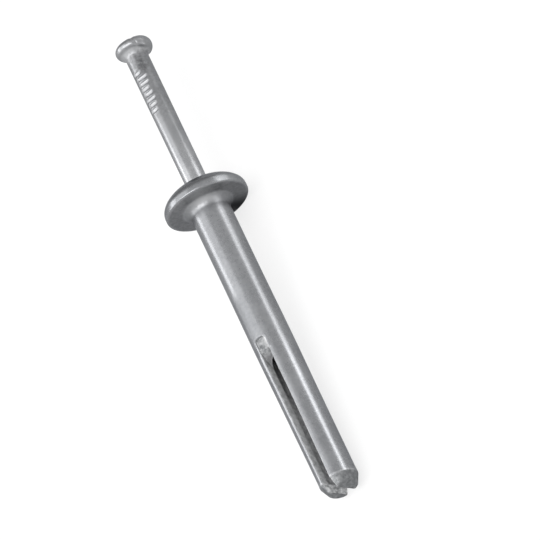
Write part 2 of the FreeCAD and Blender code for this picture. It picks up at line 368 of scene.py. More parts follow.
def leg_radius(z):
    """Outer radius below the neck: straight shank, slight draft, eased corner, taper and round.

    The taper falls by tan(TIP_ANGLE) * d, where d is how far z is below its corner; within
    TAPER_ROUND of the corner d is (d + TAPER_ROUND)^2 / (4 * TAPER_ROUND).
    """
    drafted = lerp(SHANK_R, LEG_END_R, np.clip((DRAFT_Z - z) / (DRAFT_Z - TAPER_Z), 0, 1))
    taper_end = TIP_Z + TIP_REACH * math.cos(TIP_ANGLE)
    below = TAPER_Z - z
    eased = np.clip(below + TAPER_ROUND, 0, None) ** 2 / (4 * TAPER_ROUND)
    tapered = LEG_END_R - math.tan(TIP_ANGLE) * np.where(below < TAPER_ROUND, eased, below)
    depth = np.clip(z - (TIP_Z + TIP_ROUND), -TIP_ROUND, 0)
    rounded = TIP_R - TIP_REACH + np.sqrt(np.maximum(TIP_ROUND**2 - depth**2, 0))
    above = z > TAPER_Z + TAPER_ROUND
    return np.where(above, drafted, np.where(z > taper_end, tapered, rounded))


def slot_edge(z, side):
    """Distance of one slot wall from the middle plane; side is +1 or -1.

    It goes straight from the top's half width to the tip's, drifts to one side, is rounded at the
    top by a quarter circle, and comes closer on side -1.
    """
    share = np.clip((SLOT_Z - SLOT_ROUND - z) / (SLOT_Z - SLOT_ROUND - TIP_Z), 0, 1)
    half = lerp(SLOT_HALF, SLOT_TIP_HALF, share)
    top = TOP_ROUND[side]
    down = np.clip(SLOT_Z - z, 0, top)
    corner = top - np.sqrt(top**2 - (top - down) ** 2)
    edge = half + side * SLOT_DRIFT * (share - 0.5) - corner
    if side < 0:
        bulge = bump(z, BULGE_Z, BULGE_WIDTH) * smooth(CLOSER_TOP, BULGE_FULL, z)
        edge = edge - WALL_CLOSER * smooth(CLOSER_TOP, CLOSER_FULL, z) - WALL_BULGE * bulge
    return edge


def corner_curve(start, corner, end):
    """Three cells of a quadratic curve from start to end, for arrays of (rows, 2)."""
    t = np.linspace(0, 1, 4)[None, :, None]
    start, corner, end = start[:, None], corner[:, None], end[:, None]
    return (1 - t) ** 2 * start + 2 * t * (1 - t) * corner + t * t * end


def wall_section(edge, r, inner, root, share=0.45):
    """Across one slot wall, from the leg's outer round to the wall's inner end, as (rows, 15, 2).

    Three cells round the outer edge over, eight run along the wall, and three turn into the floor.
    The outer edge takes no more than its share of the wall, and runs out longer over the leg. Also
    gives the angle at which the section starts.
    """
    corner_x = np.sqrt(r**2 - edge**2)
    deep = corner_x - inner
    edge_round = np.minimum(EDGE_ROUND, share * deep)
    root_round = np.clip(root, 0, 0.45 * deep)
    turn = np.arcsin(edge / r) + edge_round * EDGE_RUN / EDGE_ROUND / r
    outer_x = corner_x - edge_round
    inner_x = inner + root_round
    lip = corner_curve(on_round(r, turn), pair(corner_x, edge), pair(outer_x, edge))
    t = np.linspace(0, 1, 9)[None]
    wall = pair(lerp(outer_x[:, None], inner_x[:, None], t), edge[:, None])
    root_end = corner_curve(pair(inner_x, edge), pair(inner, edge), pair(inner, edge - root_round))
    return np.concatenate([lip, wall[:, 1:], root_end[:, 1:]], axis=1), turn


def arc_section(first, last, r, cells):
    """Round between two angles in even cells, both ends left out, as (rows, cells - 1, 2)."""
    t = np.linspace(0, 1, cells + 1)[None, 1:-1]
    return on_round(r[:, None], lerp(first[:, None], last[:, None], t))


def half_ring(low, high, r, floor, root, depth):
    """One mouth and the leg after it, half of a ring's columns, as (rows, 76, 2).

    low and high are the mouth's edges. Where depth is under 1, the mouth blends from the plain
    round towards its full section.
    """
    low_side, low_turn = wall_section(low, r, floor, root)
    high_side, high_turn = wall_section(high, r, floor, root)
    t = np.linspace(0, 1, 9)[None, 1:-1]
    base = pair(floor[:, None], lerp(-low_side[:, -1:, 1], high_side[:, -1:, 1], t))
    mirrored = low_side * np.array([1.0, -1.0])
    mouth = np.concatenate([mirrored, base, high_side[:, ::-1]], axis=1)
    t = np.linspace(0, 1, mouth.shape[1])[None]
    plain = on_round(r[:, None], lerp(-low_turn[:, None], high_turn[:, None], t))
    mouth = lerp(plain, mouth, depth[:, None, None])
    leg = arc_section(high_turn, math.pi - high_turn, r, LEG_ARC_CELLS)
    return np.concatenate([mouth, leg], axis=1)


def with_height(section, z):
    """Adds each row's height as third coordinate."""
    height = np.broadcast_to(z[:, None, None], section.shape[:2] + (1,))
    return np.concatenate([section, height], axis=-1)


def turn_half(section):
    """Half a turn about the axis."""
    return section * np.array([-1.0, -1.0, 1.0])


def rows_between(first, last, cells):
    """Rows that divide the way from one row to another into even cells, both ends left out."""
    return lerp(first, last, np.linspace(0, 1, cells + 1)[1:-1, None, None])


def ramp_end(side):
    """Height at which the web's ramp meets the bore at one slot wall; solved in a few rounds."""
    z = WEB_Z
    for _ in range(12):
        reach = WEB_R - math.sqrt(BORE_R**2 - float(slot_edge(np.array(z), side)) ** 2)
        z = WEB_Z - reach / RAMP_SLOPE[side]
    return z


RAMP_END = {side: ramp_end(side) for side in (1, -1)}


def bore_rows(mouth_y, other_y):
    """Bore from the ramps' ends up to the bevel, with its columns' angles and lowest heights."""
    mouth_angle = np.arcsin(mouth_y / BORE_R)
    other_angle = math.pi + np.arcsin(other_y / BORE_R)
    back = np.linspace(other_angle[-1], 2 * math.pi + mouth_angle[0], LEG_CELLS + 1)
    wrap = RING - OTHER_MOUTH.stop + 1
    angle = np.zeros(RING)
    angle[LEG] = np.linspace(mouth_angle[-1], other_angle[0], LEG_CELLS + 1)
    angle[OTHER_MOUTH.stop - 1:] = back[:wrap]
    angle[:WALL_COLUMNS] = back[wrap:] - 2 * math.pi
    angle[MOUTH] = mouth_angle
    angle[OTHER_MOUTH] = other_angle

    lowest = np.full(RING, RAMP_END[-1])
    lowest[LEG] = RAMP_END[1]
    slope = np.linspace(RAMP_SLOPE[-1], RAMP_SLOPE[1], FLOOR_CELLS + 1)
    lowest[MOUTH] = WEB_Z - (WEB_R - np.sqrt(BORE_R**2 - mouth_y**2)) / slope
    lowest[OTHER_MOUTH] = WEB_Z - (WEB_R - np.sqrt(BORE_R**2 - other_y**2)) / slope[::-1]
    top = DISH_Z - BORE_BEVEL - CROWN_EASE
    z = lerp(lowest[None], top, np.linspace(0, 1, 12)[:, None])
    around_bore = on_round(BORE_R, np.broadcast_to(angle, z.shape))
    return np.concatenate([around_bore, z[..., None]], axis=-1), angle, lowest


def outer_profile():
    """Turned profile (r, z) from the bore's bevel over crown, dome, rim, seat and neck to the slot.

    The dome is the arc that leaves the crown level and meets the rim's top.
    """
    rise = HEAD_TOP - RIM_TOP
    run = HEAD_R - CROWN_R
    dome_r = (run**2 + rise**2) / (2 * rise)
    dome_end = math.degrees(math.atan2(dome_r - rise, run))
    # The first and the last corner only give the directions there.
    crown = rounded_path([
        (BORE_R, 0.0, 0),
        (BORE_R, DISH_Z - BORE_BEVEL, 0.08),
        (BORE_R + BORE_BEVEL, DISH_Z, CROWN_EASE),
        (DISH_R, DISH_Z, CROWN_EASE),
        (DISH_EDGE_R, HEAD_TOP, CROWN_EASE),
        (CROWN_R, HEAD_TOP, 0),
    ], 5)[1:-1]
    flat_r = np.linspace(DISH_EDGE_R + CROWN_EASE, CROWN_R, 6)[1:]
    dome = arc((CROWN_R, HEAD_TOP - dome_r), dome_r, 90, dome_end, 24)[1:-3]
    rim = rounded_path([
        (*dome[-1], 0),
        (HEAD_R, RIM_TOP, RIM_SHOULDER),
        (HEAD_R, RIM_ROUND, 0),
    ], 6)[1:-1]
    rim_low = arc((HEAD_R - RIM_ROUND, RIM_ROUND), RIM_ROUND, 0, -90, 12)
    seat_r = np.linspace(HEAD_R - RIM_ROUND, SHANK_R + NECK_SWEEP, 9)[1:-1]
    neck = arc((SHANK_R + NECK_SWEEP, -NECK_SWEEP), NECK_SWEEP, 90, 180, 20)
    shank_z = np.linspace(-NECK_SWEEP, SLOT_Z + LIP_ROUND, 70)[1:-1]
    shank = pair(leg_radius(shank_z), shank_z)
    flat, seat = pair(flat_r, HEAD_TOP), pair(seat_r, 0.0)
    return np.vstack([crown, flat, dome, rim, rim_low, seat, neck, shank])


def notch_rows():
    """Both slot mouths from their lip to where the web's ramp starts, as whole rings."""
    lip = np.radians(np.linspace(0, 75, 7))
    lip_z = SLOT_Z + LIP_ROUND * (1 - np.sin(lip))
    lip_rows = pair(lip_z, LIP_ROUND * (1 - np.cos(lip)) / WEB_DEPTH)
    z, depth = np.vstack([lip_rows, NOTCH_ROWS]).T
    r = leg_radius(z)
    low, high = slot_edge(z, -1), slot_edge(z, 1)
    floor = np.full_like(z, WEB_R)
    first = with_height(half_ring(low, high, r, floor, ROOT_ROUND, depth), z)
    second = with_height(half_ring(high, low, r, floor, ROOT_ROUND, depth), z)
    return np.concatenate([first, turn_half(second)], axis=1)


def ramp_half(sides, begin, y_end, z_end):
    """Rows down the ramp over one mouth and the leg after it; sides are the mouth's two walls.

    Each wall, and the leg, go down to the ramp's end at their own side. The floor slopes from the
    row where it begins in to the bore.
    """
    t = np.linspace(0, 1, 11)[1:]
    parts = []
    for side in sides:
        z = lerp(WEB_Z, RAMP_END[side], t)
        edge = slot_edge(z, side)
        floor = lerp(WEB_R, math.sqrt(BORE_R**2 - edge[-1] ** 2), t)
        root = ROOT_ROUND * (1 - t)
        section = half_ring(edge, edge, leg_radius(z), floor, root, np.ones_like(t))
        parts.append(with_height(section, z))
    half = np.concatenate([parts[0][:, :WALL_COLUMNS], parts[1][:, WALL_COLUMNS:]], axis=1)
    end = np.stack([np.sqrt(BORE_R**2 - y_end**2), y_end, z_end], axis=-1)
    half[:, MOUTH] = lerp(begin[MOUTH], end, t[:, None, None])
    return half


def body_rings():
    """Bore, crown, dome, rim, seat, neck, shank, notch and ramps as one grid of closed rows."""
    edge = {side: float(slot_edge(np.array(RAMP_END[side]), side)) for side in (1, -1)}
    mouth_y = np.linspace(-edge[-1], edge[1], FLOOR_CELLS + 1)
    other_y = np.linspace(-edge[1], edge[-1], FLOOR_CELLS + 1)
    bore, bore_angle, lowest = bore_rows(mouth_y, other_y)
    notch = notch_rows()

    # Turned rows, whose columns go over from the bore's angles to the notch's.
    top_angle = np.unwrap(np.arctan2(notch[0, :, 1], notch[0, :, 0]))
    profile = outer_profile()
    steps = np.linalg.norm(np.diff(profile, axis=0), axis=1)
    length = np.concatenate([[0], np.cumsum(steps)])
    angle = lerp(bore_angle[None], top_angle[None], smooth(0, TWIST_LENGTH, length)[:, None])
    turned = with_height(on_round(profile[:, :1], angle), profile[:, 1])

    begin = notch[-1, :HALF_RING]
    other_begin = turn_half(notch[-1, HALF_RING:])
    ramps = np.concatenate([
        ramp_half((-1, 1), begin, mouth_y, lowest[MOUTH]),
        turn_half(ramp_half((1, -1), other_begin, other_y, lowest[OTHER_MOUTH])),
    ], axis=1)
    return np.vstack([bore, turned, notch, ramps])


def leg_sheet(side):
    """One leg below the ramp, with its bore, as a grid of 63 columns from wall to wall."""
    upper_z = np.concatenate([
        np.linspace(RAMP_END[side], TAPER_Z + 0.32, 80),
        np.linspace(TAPER_Z + 0.24, BORE_END_Z, 7),
    ])
    tip_turn = np.radians(np.linspace(0, 90, 12)[1:])
    z = np.concatenate([
        upper_z,
        np.linspace(BORE_END_Z, TIP_Z + TIP_ROUND, 14)[1:],
        TIP_Z + TIP_ROUND * (1 - np.sin(tip_turn)),
    ])
    near_end = np.clip(TIP_Z + END_LIP - z, 0, END_LIP)
    edge = slot_edge(z, side) + END_LIP - np.sqrt(END_LIP**2 - near_end**2)
    r = leg_radius(z)
    bore_x = np.sqrt(BORE_R**2 - edge**2)
    below = np.clip((BORE_END_Z - z) / (BORE_END_Z - TIP_Z - TIP_ROUND), 0, 1)
    inner = lerp(bore_x, np.sqrt(r**2 - edge**2) - EDGE_ROUND, below)
    section, turn = wall_section(edge, r, inner, 0.0, share=1.0)
    near = section[:, :WALL_COLUMNS][:, ::-1]
    far = section[:, :WALL_COLUMNS] * np.array([-1.0, 1.0])
    leg = arc_section(turn, math.pi - turn, r, LEG_ARC_CELLS)
    outer = with_height(np.concatenate([near, leg, far], axis=1), z)

    # The bore's rows, the wall below the bore as chords of it, and the end cap and the bore's
    # floor between them. The last chord keeps eight columns at each end for the cap's corners.
    last = len(upper_z) - 1
    bore_turn = np.arcsin(edge / BORE_R)
    bore = np.concatenate([
        pair(bore_x, edge)[:, None],
        arc_section(bore_turn, math.pi - bore_turn, np.full_like(z, BORE_R), LEG_CELLS),
        pair(-bore_x, edge)[:, None],
    ], axis=1)
    column = bore[last, :, 0] / bore_x[last]
    chord = pair(inner[:, None] * column[None], edge[:, None])
    corner = np.ones(8)
    middle = np.linspace(1, -1, len(column) - 2 * len(corner))
    chord[-1, :, 0] = inner[-1] * np.concatenate([corner, middle, -corner])
    chord = with_height(chord, z)[last:][::-1]
    bore = with_height(bore, z)[:last + 1][::-1]
    cap = rows_between(outer[-1], chord[0], 7)
    floor = rows_between(chord[-1], bore[0], 6)
    return np.vstack([outer, cap, chord, floor, bore])


def cast_warp(points):
    """Casting unevenness of a few hundredths of a mm on the outer surface below the head.

    The radius is scaled by 1 + (swell + wave) / SHANK_R, fading out at the head and the tip.
    """
    x, y, z = np.moveaxis(points, -1, 0)
    swell = SWELL[0] * bump(z, *SWELL[1:]) + FLARE[0] * bump(z, *FLARE[1:])
    swell = swell - SLIMMER * smooth(-22.0, -8.0, z)
    wave = WAVE * (np.sin(1.3 * z + 2.0 * x) + np.sin(3.1 * y - 0.8 * z))
    fade = smooth(-0.2, -2.5, z) * smooth(TIP_Z, -48.5, z)
    outer = smooth(1.9, 2.6, np.hypot(x, y))
    scale = 1 + (swell + wave) / SHANK_R * fade * outer
    return np.stack([x * scale, y * scale, z], axis=-1)


# Masks of the finish and of painted light and shade: smooth steps over short distances in mm
# around the place each one names.

def radius(points):
    """Distance from the axis."""
    return np.hypot(points[:, 0], points[:, 1])


def turned_to(points, centre, width):
    """Bell of height 1 at that turn about the axis."""
    return bump(around(np.arctan2(points[:, 1], points[:, 0]), centre), 0.0, width)


# The slot's skin is duller and painted paler as painted light.
def skin_and_painted_light_mask(points):
    """1 on the walls of the slot, its web and the ends of the legs, 0 on the outer round."""
    z = points[:, 2]
    inside = smooth(0.05, 0.16, leg_radius(z) - radius(points))
    return inside * (z < -1) * smooth(TIP_Z + 0.05, TIP_Z + 0.3, z)


def web_mask(points):
    """1 on the web's floor and ramp in the top of the slot."""
    middle = smooth(0.95, 0.6, np.abs(points[:, 1]))
    return skin_and_painted_light_mask(points) * middle * smooth(-28.9, -28.2, points[:, 2])


def ramp_mask(points):
    """1 on the lower part of the web's ramp, darkened as painted shade."""
    return web_mask(points) * smooth(-26.2, -27.1, points[:, 2])


# The bore is darkened as painted shade.
def bore_painted_shade_mask(points):
    """1 in the bore, 0 a tenth of a mm outside its round; fainter between the legs' lower ends."""
    z = points[:, 2]
    inside = smooth(BORE_R + 0.12, BORE_R + 0.02, radius(points)) * (z < HEAD_TOP - 0.2)
    return inside * smooth(-48.6, -47.0, z) * (0.2 + 0.8 * smooth(-37.0, -28.5, z))


def under_head(points, depth, reach):
    """1 on the flat under the head, fading down the neck and out to the rim between two values."""
    z, r = points[:, 2], radius(points)
    return smooth(0.3, 0.06, z) * smooth(*depth, z) * smooth(*reach, r) * (r > 2.5)


def seat_painted_shade_mask(points):
    """1 on the flat under the head, dull and with painted shade, fading over the neck and at the
    rim.
    """
    return under_head(points, (-0.14, -0.02), (HEAD_R - 0.1, HEAD_R - 0.5))


def painted_sheen_mask(points):
    """Over a half where one side of the neck and the flat beside it get a pale painted reflection.
    """
    return 0.55 * turned_to(points, PAINTED_SHEEN_TURN, 0.6) * under_head(points, (-1.5, -0.5), (6.4, 6.1))


def painted_shadow_mask(points):
    """1 in the corner under the head that faces down to the right, where a shadow is painted."""
    return turned_to(points, PAINTED_SHADOW_TURN, 0.46) * under_head(points, (-1.9, -0.5), (6.6, 6.2))


def neck_dull_painted_shade_mask(points):
    """1 on the round of the neck, which is dull and darkened a little as painted shade."""
    return smooth(-2.6, -1.2, points[:, 2]) * smooth(0.0, -0.25, points[:, 2])


def dome_painted_shade_mask(points):
    """1 on the top of the head, which is darkened as painted shade."""
    return smooth(0.4, 1.2, points[:, 2])


def taper_painted_highlight_mask(points):
    """1 along the edge where each leg's taper starts, painted pale as a painted highlight."""
    return bump(points[:, 2], TAPER_Z + 0.03, 0.11)


def end_mask(points):
    """1 on the taper and the ends of the legs, whose cast skin is rough."""
    return smooth(TAPER_Z + 0.1, TAPER_Z - 0.15, points[:, 2])


def scuff_mask(points):
    """1 on a dull patch of the shank just above one mouth of the slot."""
    z = points[:, 2]
    return turned_to(points, SCUFF_TURN, 0.24) * smooth(-14.5, -18.0, z) * smooth(-25.5, -23.5, z)


def make_body():
    """Cast body: ring grid and two leg grids, merged along the slot's walls."""
    rings = cast_warp(body_rings())
    legs = [cast_warp(leg_sheet(1)), cast_warp(turn_half(leg_sheet(-1)))]
    grids = [(rings, True), (legs[0], False), (legs[1], False)]
    masks = {
        "skin_and_painted_light": skin_and_painted_light_mask,
        "web": web_mask,
        "ramp": ramp_mask,
        "bore": bore_painted_shade_mask,
        "seat": seat_painted_shade_mask,
        "painted_sheen": painted_sheen_mask,
        "neck": neck_dull_painted_shade_mask,
        "dome": dome_painted_shade_mask,
        "edge": taper_painted_highlight_mask,
        "painted_shadow": painted_shadow_mask,
        "end": end_mask,
        "scuff": scuff_mask,
    }
    piece = mesh_piece("cast_body", grids, slot_turn(), BODY_CRISP, masks)
    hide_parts("anchor_body")
    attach(piece, "anchor")
    return piece


# ---- nail ----

def head_forging(r, z, turn):
    """Forged unevenness of the nail head: two lobes that meet in a slanting crease across the rim.

    Over the bead, lean is -1 underneath and +1 on top. The crease is a narrow bell along a line
    that slants with lean; the lobe after it hangs lower and stands out, and the other is thinner.
    """
    bead = NAIL_HEAD_HEIGHT / 2
    lean = np.clip((z - NAIL_SEAT - bead) / bead, -1, 1)
    under, over = (1 - lean) / 2, (1 + lean) / 2
    level = np.sqrt(1 - lean**2)
    on_rim = smooth(NAIL_R + 0.12, NAIL_HEAD_R - 0.35, r) * (z > NAIL_SEAT - 0.4)
    from_crease = around(turn, CREASE_TURN) + 0.11 * lean
    heavy = smooth(-0.15, 0.6, from_crease) * smooth(2.7, 1.7, from_crease)
    thin = smooth(0.0, -0.5, from_crease) * smooth(-2.9, -1.9, from_crease)
    crease = bump(from_crease, 0.0, 0.10)
    drop = (HEAVY_DROP * heavy - THIN_RISE * thin) * under
    drop = drop + (CREASE_DROP * crease - TOP_RISE) * over
    push = HEAVY_PUSH * heavy - THIN_PULL * thin - CREASE_PULL * crease * (0.4 + 0.6 * level)
    return r + on_rim * push, z - on_rim * drop


def grip_marks(r, z, turn, on_shaft):
    """Marks cut straight across two sides: r becomes the smaller of itself and x / |cos turn|.

    x is the face of the nearest flat-bottomed mark; the marks differ in depth and sit a few
    degrees apart around the wire. The smaller of the two is taken with a soft edge.
    """
    slanted = NAIL_SEAT - MARK_OFFSET - z + np.tan(MARK_SLANT) * r * np.cos(turn)
    number = np.clip(np.round(slanted / MARK_PITCH), 0, MARK_COUNT - 1).astype(int)
    away = np.minimum(np.abs(slanted - number * MARK_PITCH) / MARK_HALF, 1)
    plane = NAIL_R - np.array(MARK_DEPTHS)[number] * (1 - away**4)
    cos = np.cos(turn - np.radians(MARK_SHIFTS)[number])
    cut = np.where(on_shaft, plane, NAIL_R) / np.maximum(np.abs(cos), 1e-3)
    gap = cut - r
    smaller = (cut + r - np.sqrt(gap**2 + MARK_EDGE**2)) / 2 + MARK_EDGE / 2 * (gap > 0.2)
    return np.where(on_shaft, smaller, r)


def mark_mask(points):
    """1 in the pressed grip marks."""
    marks = (points[:, 2] < MARKS_TOP) & (points[:, 2] > MARKS_END)
    return smooth(0.05, 0.13, NAIL_R - radius(points)) * marks


def dull_mask(points):
    """0 at the lower end, rising to 1 below the head, where the wire is dull."""
    z = points[:, 2]
    return smooth(4.0, 20.0, z) * smooth(NAIL_SEAT + 0.4, NAIL_SEAT - 0.8, z)


def smudge_mask(points):
    """1 in the middle of a dark smudge between the head and the grip marks."""
    return turned_to(points, SMUDGE_TURN, 0.5) * bump(points[:, 2], SMUDGE_Z, 1.25)


def nail_neck_painted_light_mask(points):
    """1 under the head and on the flare below it, painted paler as painted light."""
    z = points[:, 2]
    below_head = smooth(25.9, 26.9, z) * smooth(NAIL_SEAT + 0.45, NAIL_SEAT - 0.1, z)
    return below_head * smooth(2.4, 2.1, radius(points))


def head_mask(points):
    """1 on the bead of the nail head."""
    z = points[:, 2]
    return smooth(NAIL_SEAT - 0.4, NAIL_SEAT + 0.2, z) * smooth(2.0, 2.5, radius(points))


def nail_profile():
    """Turned profile (r, z) from the middle of the head's top down to the middle of the point.

    Below the head's bead a quadratic curve flares from the shaft out to the bead's underside.
    """
    top = NAIL_SEAT + NAIL_HEAD_HEIGHT
    end = NAIL_SEAT - NAIL_LENGTH
    shaft_end = end + POINT_LENGTH + POINT_EASE
    bead = NAIL_HEAD_HEIGHT / 2
    centre = (NAIL_HEAD_R - bead, NAIL_SEAT + bead)
    face = pair(np.linspace(0, centre[0], 12)[:-1], top)
    side = arc(centre, bead, 90, -UNDER_HEAD_ANGLE, 44)
    slope = math.tan(math.radians(90 - UNDER_HEAD_ANGLE))
    t = np.linspace(0, 1, 14)[1:, None]
    bend = np.array([NAIL_R, side[-1, 1] - slope * (side[-1, 0] - NAIL_R)])
    foot = np.array([NAIL_R, NAIL_NECK_Z])
    neck = (1 - t) ** 2 * side[-1] + 2 * t * (1 - t) * bend + t**2 * foot
    shaft = pair(NAIL_R, np.concatenate([
        np.linspace(NAIL_NECK_Z, MARKS_TOP, 8)[1:],
        np.linspace(MARKS_TOP, MARKS_END, 290)[1:],
        np.linspace(MARKS_END, shaft_end, 50)[1:-1],
    ]))
    point = rounded_path([
        (NAIL_R, shaft_end, 0),
        (NAIL_R, end + POINT_LENGTH, 0.15),
        (POINT_R, end, 0.1),
        (0.0, end, 0),
    ], 5)
    return np.vstack([face, side, neck, shaft, point])


def make_nail():
    """Turned nail as a grid of profile and turn, with its grip marks and its forged head."""
    profile = nail_profile()
    turn = np.linspace(0, 2 * math.pi, NAIL_COLUMNS + 1)[:-1]
    turn = np.broadcast_to(turn, (len(profile), NAIL_COLUMNS))
    r = np.broadcast_to(profile[:, :1], turn.shape)
    z = np.broadcast_to(profile[:, 1:], turn.shape)
    r = grip_marks(r, z, turn, (z < NAIL_NECK_Z) & (z > MARKS_END))
    r, z = head_forging(r, z, turn)
    points = np.stack([r * np.cos(turn), r * np.sin(turn), z], axis=-1)
    masks = {
        "mark": mark_mask,
        "dull": dull_mask,
        "smudge": smudge_mask,
        "neck": nail_neck_painted_light_mask,
        "head": head_mask,
    }
    piece = mesh_piece("nail", [(points, True)], MARK_TURN, NAIL_CRISP, masks)
    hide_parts("drive_nail")
    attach(piece, "nail")
    return piece


# ---- materials ----

class Value:
    """A shader socket or number whose arithmetic adds Math nodes."""

    tree = None

    def __init__(self, socket):
        self.socket = socket

    @staticmethod
    def plug(node, index, value):
        """Link a socket to a node's input, or set the input to a plain value."""
        value = value.socket if isinstance(value, Value) else value
        if isinstance(value, bpy.types.NodeSocket):
            Value.tree.links.new(value, node.inputs[index])
        else:
            node.inputs[index].default_value = value

    @staticmethod
    def math(operation, *values, clamp=False):
        """A Math node's result."""
        node = Value.tree.nodes.new("ShaderNodeMath")
        node.operation = operation
        node.use_clamp = clamp
        for index, value in enumerate(values):
            Value.plug(node, index, value)
        return Value(node.outputs[0])

    def __add__(self, other):
        return Value.math("ADD", self, other)

    def __mul__(self, other):
        return Value.math("MULTIPLY", self, other)

    def __sub__(self, other):
        return Value.math("SUBTRACT", self, other)

    def __rsub__(self, other):
        return Value.math("SUBTRACT", other, self)

    def clamp(self):
        """The same value kept between 0 and 1."""
        return Value.math("ADD", self, 0.0, clamp=True)


def add_node(kind, settings=None, **sockets):
    """Add a node: its settings first, then its sockets by name; spaces in names are underscores."""
    node = Value.tree.nodes.new(kind)
    for name, value in (settings or {}).items():
        setattr(node, name, value)
    for name, value in sockets.items():
        Value.plug(node, name.replace("_", " "), value)
    return node


def new_material(name):
    """A material whose nodes are the ones added next, and its shader."""
    material = bpy.data.materials.new(name)
    material.use_nodes = True
    Value.tree = material.node_tree
    return material, material.node_tree.nodes["Principled BSDF"]


def noise(scale, detail, rough):
    """Noise between 0 and 1 fixed to the piece; scale is its repeats in a metre."""
    place = add_node("ShaderNodeTexCoord").outputs["Object"]
    sockets = {"Vector": place, "Scale": scale, "Detail": detail, "Roughness": rough}
    return Value(add_node("ShaderNodeTexNoise", **sockets).outputs["Fac"])


def attributes(*names):
    """The piece's own masks by name."""
    nodes = [add_node("ShaderNodeAttribute", {"attribute_name": name}) for name in names]
    return [Value(node.outputs["Fac"]) for node in nodes]


def two_tone(factor, dark, light):
    """Colour between two tones by a factor."""
    mix = add_node("ShaderNodeMix", {"data_type": "RGBA"}, Factor=factor)
    for index, tone in ((6, dark), (7, light)):
        Value.plug(mix, index, (*tone, 1) if isinstance(tone, tuple) else tone)
    return mix.outputs[2]


def scale_tone(color, factor):
    """Colour times a number."""
    node = add_node("ShaderNodeVectorMath", {"operation": "SCALE"}, Scale=factor)
    Value.plug(node, 0, color)
    return node.outputs[0]


def mottled(patch, fleck):
    """Share of the lighter tone from slow patches and fine flecks."""
    return (patch * 1.2 + fleck * 1.4 - 0.8).clamp()


def fine_grain():
    """Normal of the fine grain that both metals have, twelve thousandths of a mm high."""
    grain = noise(6500.0, 2.0, 0.5)
    node = add_node("ShaderNodeBump", Strength=0.1, Distance=0.012 * MM, Height=grain)
    return node.outputs["Normal"]


def zinc_finish():
    """Satin die-cast zinc alloy: cool grey, fine cast grain, slow patches of sheen.

    The walls of the slot keep the duller skin of the mould, painted paler as painted light, with
    painted light on the legs' inner lower ends; the top of the slot is rough with painted shade
    down its ramp, the bore has painted shade, and the ends are rough from the mould's gate with a
    painted highlight along the taper's edge. Under the head the flat is dull with painted shade,
    one corner has a painted shadow and one side of the neck a painted reflection; the neck round
    and the top of the head have painted shade.
    """
    material, shader = new_material("cast_zinc")
    shader.inputs["Specular Tint"].default_value = GLANCING_TINT
    skin_and_painted_light, web, ramp, bore = attributes("skin_and_painted_light", "web", "ramp", "bore")
    seat, painted_sheen, painted_shadow, neck = attributes("seat", "painted_sheen", "painted_shadow", "neck")
    dome, edge, end, scuff = attributes("dome", "edge", "end", "scuff")
    fleck = noise(2000.0, 3.0, 0.6)
    patch = noise(260.0, 3.0, 0.5)
    crust = noise(1300.0, 3.0, 0.7)
    tone = mottled(patch, fleck)
    lumpy = (crust * 3.0 - 1.0).clamp()
    # The slot's skin is painted paler as painted light.
    color = two_tone(skin_and_painted_light, two_tone(tone, *ZINC["plain"]), two_tone(lumpy, *ZINC["skin_and_painted_light"]))
    color = two_tone(web, color, two_tone((crust * 4.0 - 1.5).clamp(), *ZINC["web"]))
    # Painted shade down the ramp into the bore.
    color = two_tone(ramp, color, two_tone(tone, *ZINC["ramp"]))
    # Painted reflection on one side of the neck and the flat beside it.
    color = two_tone(painted_sheen, color, PAINTED_SHEEN_TONE)
    outer_end = two_tone(lumpy, *ZINC["outer_end"])
    # Painted light on the legs' inner lower ends.
    inner_end_painted_light = two_tone(lumpy, *ZINC["inner_end_painted_light"])
    color = two_tone(end, color, two_tone(skin_and_painted_light, outer_end, inner_end_painted_light))
    # Painted highlight along the edge where each leg's taper starts.
    color = two_tone(edge * (1 - skin_and_painted_light) * lumpy, color, PAINTED_HIGHLIGHT_TONE)
    # Painted shade in the bore, fainter towards the legs' lower ends.
    color = two_tone(bore, color, two_tone(lumpy, *ZINC["bore"]))
    # Painted shade on the flat under the head, and a painted shadow in one corner of it.
    under = (1 - seat * (0.50 - fleck * 0.4)) * (1 - painted_shadow * 0.95)
    # Painted shade on the neck round and on the top of the head.
    shade = under * (1 - neck * 0.08) * (1 - dome * 0.19)
    Value.plug(shader, "Base Color", scale_tone(color, shade))
    inner = (skin_and_painted_light + bore).clamp()
    Value.plug(shader, "Metallic", 0.92 - inner * 0.7 - painted_sheen * 0.5)
    # Rough where the skin goes over into the round, so that the slot's edges don't glint.
    rough = patch * 0.08 + fleck * 0.03 + 0.22 + inner * 0.3 + skin_and_painted_light * (1 - skin_and_painted_light) * 0.9
    rough = rough + seat * 0.12 + end * 0.12 + neck * 0.12 + scuff * 0.3
    Value.plug(shader, "Roughness", rough)
    height = crust * (end + web).clamp()
    lumps = {"Strength": 0.8, "Distance": 0.08 * MM, "Height": height, "Normal": fine_grain()}
    Value.plug(shader, "Normal", add_node("ShaderNodeBump", **lumps).outputs["Normal"])
    return material


